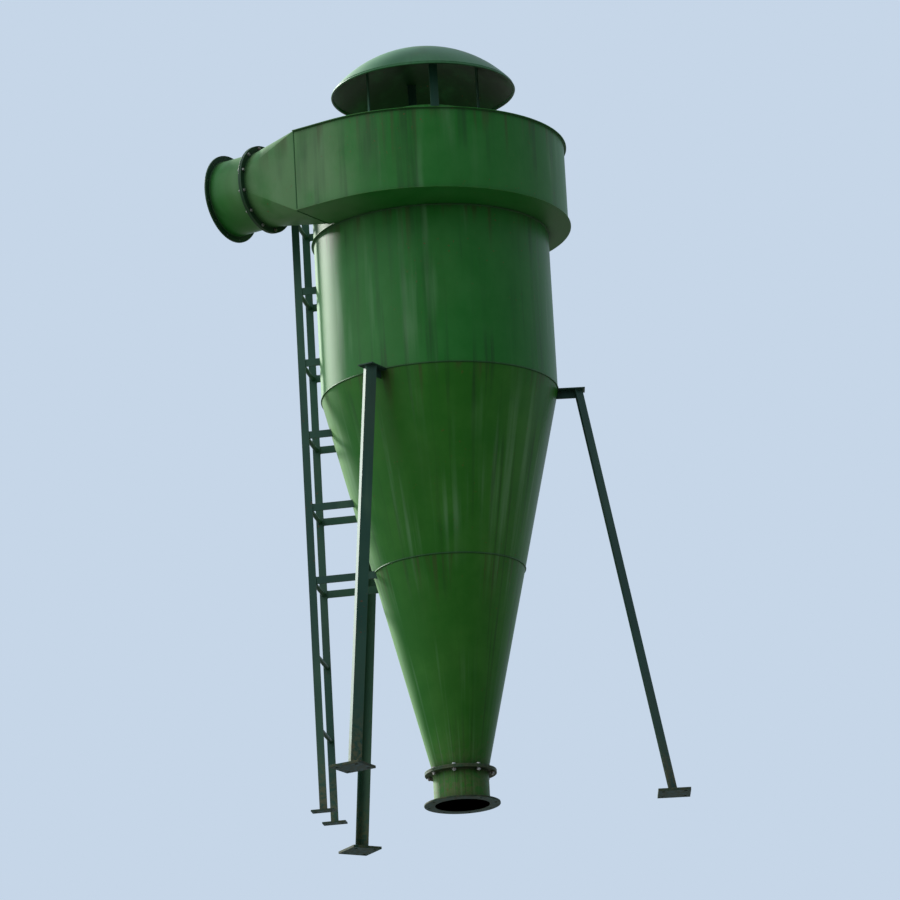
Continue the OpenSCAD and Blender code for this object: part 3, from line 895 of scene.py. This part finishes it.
def refined(name, ease=0.0, root=0.0):
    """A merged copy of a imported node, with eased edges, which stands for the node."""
    shape = bmesh.new()
    shape.from_mesh(nodes[name].data)
    bmesh.ops.remove_doubles(shape, verts=shape.verts, dist=MERGE_GAP)
    bmesh.ops.dissolve_limit(shape, angle_limit=FLAT_TURN, verts=shape.verts, edges=shape.edges)

    def corners(rounded_out):
        """The sharp edges that stand out, or the ones in a root."""
        return [
            edge for edge in shape.edges
            if edge.is_manifold and edge.calc_face_angle() > CORNER_TURN
            and edge.is_convex == rounded_out
        ]

    if root:
        eased(shape, corners(False), root, ROOT_STEPS)
    if ease:
        eased(shape, corners(True), ease, EASE_STEPS)
    mesh = ordered_mesh(name + "_finished", shape)
    shape.free()
    mesh.shade_smooth()
    mesh.set_sharp_from_angle(angle=SHARP_TURN)
    mesh.materials.append(FINISHES[slots[name]])
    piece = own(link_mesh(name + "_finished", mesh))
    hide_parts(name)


def paint_frame():
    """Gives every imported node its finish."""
    for name, slot in slots.items():
        node = nodes[name]
        node.data.materials.clear()
        node.data.materials.append(FINISHES[slot])


def refine_frame():
    """Eased plates, flanges and bars in place of the plain ones, and a smooth transition."""
    for name in (
        "base_flange", "discharge_flange", "cone_outlet_flange", "transition_flange",
        "collar_flange", "inlet_flange", "neck_flange",
    ):
        refined(name, ease=PLATE_EASE)
    for name in ("scroll_floor", "scroll_roof"):
        refined(name, ease=BAR_EASE)
    for k in range(1, LEG_COUNT + 1):
        refined("leg_%d" % k, ease=BAR_EASE, root=ROOT_R)
        refined("leg_bracket_%d" % k, ease=PLATE_EASE)
        refined("foot_plate_%d" % k, ease=PLATE_EASE)
    for k in range(1, STRUT_COUNT + 1):
        refined("cap_strut_%d" % k, ease=BAR_EASE)
    for name in (
        "ladder_left_rail", "ladder_right_rail", "ladder_left_arms", "ladder_right_arms", "ladder_feet",
    ):
        refined(name, ease=BAR_EASE)
    refined("inlet_transition")


def scroll_wall():
    """The scroll's wall, grown from its own rule."""
    values = {
        "Barrel": BODY_R, "Throw": THROW_R - BODY_R, "Start": SCROLL_START, "Sweep": SCROLL_SWEEP,
        "Box": -BOX_X, "Height": ROOF_Z - WALL_Z, "Level": (WALL_Z + ROOF_Z) / 2,
        "Sheet": SHEET, "Steps": SCROLL_STEPS, "Finish": BODY_PAINT,
    }
    mesh = grown("scroll_wall_spiral", bpy.data.meshes.new("scroll_start"), SCROLL_TREE, values)
    mesh.shade_smooth()
    mesh.set_sharp_from_angle(angle=SHARP_TURN)
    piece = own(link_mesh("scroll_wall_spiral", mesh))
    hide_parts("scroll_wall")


def cap_edge():
    """The wire that is rolled into the cap's lower edge."""
    paths = [around(CAP_R, CAP_LOW_Z + CAP_WIRE_LIFT)]
    values = {"Radius": CAP_WIRE_R, "Depth": 0.0, "Finish": CAP_PAINT}
    mesh = grown("cap_rolled_edge", routes(paths, True), WELD_TREE, values)
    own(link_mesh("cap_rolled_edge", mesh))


def body_welds():
    """Beads where the body's sheets and plates meet."""
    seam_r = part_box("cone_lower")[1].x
    weld("weld_barrel_foot", [around(BODY_R, JUNCTION_Z)], closed=True)
    weld("weld_barrel_top", [around(BODY_R, SCROLL_Z - WELD_R / 2)], closed=True)
    weld("weld_cone_seam", [around(seam_r, SEAM_Z)], closed=True)
    weld("weld_cone_foot", [around(CONE_R, CONE_Z)], closed=True)
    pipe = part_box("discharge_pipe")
    weld("weld_pipe_ends", [around(CONE_R, pipe[0].z), around(CONE_R, pipe[1].z)], closed=True)
    weld("weld_scroll_floor", [scroll_route(WALL_Z)])
    weld("weld_scroll_roof", [scroll_route(ROOF_Z)])
    weld("weld_neck", [around(NECK_R, TOP_Z + FLANGE_T)], closed=True)
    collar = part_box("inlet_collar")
    weld("weld_inlet_rounds", [
        around_inlet(DUCT_R, ROUND_X), around_inlet(DUCT_R, collar[0].x), around_inlet(DUCT_R, collar[1].x),
    ], closed=True)
    weld("weld_inlet_box", [[
        Vector((BOX_X, y, z)) for y, z in (
            (-BODY_R, SCROLL_Z), (-THROW_R, SCROLL_Z), (-THROW_R, TOP_Z), (-BODY_R, TOP_Z))
    ]], closed=True, radius=THIN_WELD_R)
    weld("weld_upright_seams", [
        up_the_side(BARREL_SEAM, (BODY_R, JUNCTION_Z), (BODY_R, SCROLL_Z)),
        up_the_side(UPPER_CONE_SEAM, (seam_r, SEAM_Z), (BODY_R, JUNCTION_Z)),
        up_the_side(LOWER_CONE_SEAM, (CONE_R, CONE_Z), (seam_r, SEAM_Z)),
    ], radius=THIN_WELD_R)


def angle_iron_loop(corner_r, z):
    """The outline of a leg's angle iron at a height, in its own direction."""
    back = LEG_W * math.cos(math.pi / 4)
    inner = LEG_T * math.cos(math.pi / 4)
    return [
        (corner_r - back, back, z), (corner_r, 0, z), (corner_r - back, -back, z),
        (corner_r - back - inner, inner - back, z), (corner_r - 2 * inner, 0, z),
        (corner_r - back - inner, back - inner, z),
    ]


def leg_welds():
    """Beads at the feet, brackets and webs of the legs."""
    leg_loops, plate_lines = [], []
    low_z = JUNCTION_Z - BRACKET_T
    across = [BRACKET_W / 2 * (step / 4 - 1) for step in range(9)]
    seat = [(math.sqrt(cone_r(low_z) ** 2 - y * y) + WELD_LIFT, y, low_z) for y in across]
    for k in range(LEG_COUNT):
        angle = LEG_TURN + k * math.tau / LEG_COUNT
        leg_loops.append(turned(angle, angle_iron_loop(LEG_FOOT_R, FOOT_T)))
        leg_loops.append(turned(angle, angle_iron_loop(LEG_TOP_R, low_z)))
        plate_lines.append(turned(angle, seat))
        for side in (-1, 1):
            y = side * (WEB_T / 2 + WELD_LIFT)
            upright = [
                (cone_r(z) + WELD_LIFT, y, z)
                for z in (low_z - WELD_LIFT, low_z - WEB_D + WEB_CORNER_GAP)
            ]
            level = [
                (x, y, low_z - WELD_LIFT)
                for x in (cone_r(low_z) + BODY_BEAD_GAP, LEG_TOP_R - LEG_BEAD_GAP)
            ]
            plate_lines += [turned(angle, upright), turned(angle, level)]
    weld("weld_leg_ends", leg_loops, closed=True, radius=THIN_WELD_R, slot="frame_paint")
    weld("weld_leg_brackets", plate_lines, radius=THIN_WELD_R, slot="frame_paint")


def ladder_welds():
    """Beads at both ends of the rungs and wall arms, and round the rails' feet."""
    loops = []
    turns = [math.tau * k / 12 for k in range(12)]
    for n in range(RUNG_COUNT):
        z = RUNG_FIRST_Z + n * RUNG_PITCH
        for side in (-1, 1):
            rung_y = side * (LADDER_W - RAIL_T) / 2
            loops.append(turned(LADDER_TURN, [
                (LADDER_R + RUNG_R * math.cos(a), rung_y, z + RUNG_R * math.sin(a)) for a in turns]))
            if n < ARM_FIRST:
                continue
            edges = [
                (side * LADDER_W / 2 + across, z + up) for across, up in rectangle(ARM_T / 2, ARM_W / 2)]
            on_body = [(math.sqrt(cone_r(up) ** 2 - y * y), y, up) for y, up in edges]
            on_rail = [(LADDER_R - RAIL_W / 2, y, up) for y, up in edges]
            loops += [turned(LADDER_TURN, on_body), turned(LADDER_TURN, on_rail)]
    for side in (-1, 1):
        loops.append(turned(LADDER_TURN, [
            (LADDER_R + along, side * LADDER_W / 2 + across, PAD_T)
            for along, across in rectangle(RAIL_W / 2, RAIL_T / 2)
        ]))
    weld("weld_ladder", loops, closed=True, radius=SMALL_WELD_R, slot="frame_paint")


def cap_rise_z(distance):
    """The height of the cap's inner face at a distance from the axis."""
    rise = CAP_TOP_Z - CAP_LOW_Z - CAP_SKIRT
    ball_r = (CAP_R ** 2 + rise ** 2) / (2 * rise)
    return CAP_TOP_Z - ball_r + math.sqrt((ball_r - SHEET) ** 2 - distance ** 2)


def strut_fixings():
    """Two bolts through each cap strut and the pipe, and a bead where it meets the cap."""
    places, loops = [], []
    middle_r = (NECK_R - SHEET + NECK_R + STRUT_T) / 2
    outline = [(NECK_R + STRUT_T / 2 + x, y) for x, y in rectangle(STRUT_T / 2, STRUT_W / 2)]
    for k in range(STRUT_COUNT):
        angle = (k + 0.5) * math.tau / STRUT_COUNT
        for depth in STRUT_BOLT_DEPTHS:
            at, outwards = turned(angle, [(middle_r, 0, NECK_TOP_Z - depth), (1, 0, 0)])
            places.append((at, outwards))
        loops.append(turned(angle, [
            (x, y, cap_rise_z(math.hypot(x, y)) - WELD_LIFT) for x, y in outline]))
    bolts("cap_strut_bolts", places, SHEET + STRUT_T + 2 * SEAT_GAP, BIG_THREAD)
    weld("weld_cap_struts", loops, closed=True, radius=THIN_WELD_R, slot="frame_paint")


def flange_bolts():
    """Bolts of the two closed flange joints."""
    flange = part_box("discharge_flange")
    circle_r = flange[1].x - DUST_BOLT_INSET
    angles = [math.tau * (k + 0.5) / DUST_BOLT_COUNT for k in range(DUST_BOLT_COUNT)]
    bolts("dust_joint_bolts", [
        (Vector((circle_r * math.cos(a), circle_r * math.sin(a), flange[1].z)), Vector((0, 0, 1)))
        for a in angles
    ], 2 * FLANGE_T, BIG_THREAD)
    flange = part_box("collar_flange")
    circle_r = (flange[1].z - flange[0].z) / 2 - INLET_BOLT_INSET
    angles = [math.tau * (k + 0.5) / INLET_BOLT_COUNT for k in range(INLET_BOLT_COUNT)]
    bolts("inlet_joint_bolts", [
        (Vector((flange[1].x, INLET_Y + circle_r * math.cos(a), INLET_Z + circle_r * math.sin(a))),
         Vector((1, 0, 0)))
        for a in angles
    ], 2 * FLANGE_T, SMALL_THREAD)


def build_floor():
    """A pale floor, with less light thrown back than it shows.

    The camera sees through it from below, and so do the undersides of the feet that lie on it.
    """
    material = bpy.data.materials.new("pale_floor")
    material.use_nodes = True
    tree = material.node_tree
    shader = tree.nodes["Principled BSDF"]
    shader.inputs["Roughness"].default_value = 0.9
    shader.inputs["Specular IOR Level"].default_value = 0.1
    path = put(tree, "ShaderNodeLightPath").outputs
    seen = path["Is Camera Ray"]
    tree.links.new(mixed(tree, seen, rgb(132, 132, 128), rgb(194, 197, 198)), shader.inputs["Base Color"])
    clear = put(tree, "ShaderNodeBsdfTransparent")
    below = put(tree, "ShaderNodeNewGeometry").outputs["Backfacing"]
    close = maths(tree, "LESS_THAN", path["Ray Length"], FLOOR_TOUCH)
    open_way = maths(tree, "MAXIMUM", times(tree, seen, below), close)
    choice = put(tree, "ShaderNodeMixShader", {0: open_way, 1: shader.outputs[0], 2: clear.outputs[0]})
    tree.links.new(choice.outputs[0], tree.nodes["Material Output"].inputs["Surface"])
    mesh = bpy.data.meshes.new("floor")
    corners = [(x, y, 0) for x, y in rectangle(FLOOR_REACH, FLOOR_REACH)]
    mesh.from_pydata(corners, [], [(0, 1, 2, 3)])
    mesh.materials.append(material)
    floor = link_mesh("floor", mesh)
    floor.location.z = cad_box[0].z - FLOOR_DROP


def build_world():
    """Even light from all round, and a pale sky for what the camera and gloss see."""
    world = bpy.data.worlds.new("studio")
    bpy.context.scene.world = world
    world.use_nodes = True
    tree = world.node_tree
    light = tree.nodes["Background"]
    light.inputs["Color"].default_value = rgb(236, 242, 250)
    light.inputs["Strength"].default_value = SKY_STRENGTH
    shown = put(tree, "ShaderNodeBackground", {"Color": rgb(198, 214, 232), "Strength": 1.0})
    path = put(tree, "ShaderNodeLightPath").outputs
    seen = maths(tree, "MAXIMUM", path["Is Camera Ray"], path["Is Glossy Ray"])
    seen = maths(tree, "MAXIMUM", seen, path["Is Transmission Ray"])
    choice = put(tree, "ShaderNodeMixShader", {0: seen, 1: light.outputs[0], 2: shown.outputs[0]})
    tree.links.new(choice.outputs[0], tree.nodes["World Output"].inputs["Surface"])


def aim(thing, towards, lean=0.0):
    """Turns a camera or lamp so that it looks along a direction."""
    turn = towards.to_track_quat("-Z", "Y").to_matrix().to_4x4()
    thing.matrix_world = Matrix.Translation(thing.location) @ turn @ Matrix.Rotation(lean, 4, "Z")


def build_lamps():
    """A low sun from behind on the left, and the wide glow of the sky on that side."""
    glow_side = sight(VIEW_AZIMUTH + GLOW_TURN, GLOW_RISE)
    for name, source, strength, spread, colour in (
        ("sun", SUN_SIDE, SUN_STRENGTH, SUN_SPREAD, (1.0, 0.99, 0.95)),
        ("sky_glow", glow_side, GLOW_STRENGTH, GLOW_SPREAD, (0.95, 0.98, 1.0)),
    ):
        lamp = bpy.data.lights.new(name, "SUN")
        lamp.energy = strength
        lamp.angle = spread
        lamp.color = colour
        light = bpy.data.objects.new(name, lamp)
        bpy.context.scene.collection.objects.link(light)
        light.location = source * 10
        aim(light, -source)


def build_camera():
    """The camera at the photograph's angle, with a lens so long that the object fills the frame."""
    data = bpy.data.cameras.new("camera")
    data.sensor_width = 36.0
    data.lens = data.sensor_width * VIEW_DISTANCE / VIEW_HEIGHT
    data.clip_end = 200.0
    camera = bpy.data.objects.new("camera", data)
    bpy.context.scene.collection.objects.link(camera)
    middle = (cad_box[0] + cad_box[1]) / 2
    to_right = Vector((math.cos(VIEW_AZIMUTH), math.sin(VIEW_AZIMUTH), 0))
    middle += to_right * VIEW_ASIDE - Vector((0, 0, VIEW_BELOW))
    direction = sight(VIEW_AZIMUTH, VIEW_ELEVATION)
    camera.location = middle + direction * VIEW_DISTANCE
    aim(camera, -direction, -VIEW_LEAN)
    bpy.context.scene.camera = camera


build_camera()
build_world()
build_lamps()
build_floor()
paint_frame()
refine_frame()
scroll_wall()
cap_edge()
body_welds()
leg_welds()
ladder_welds()
strut_fixings()
flange_bolts()

bpy.context.scene.view_settings.view_transform = "Standard"
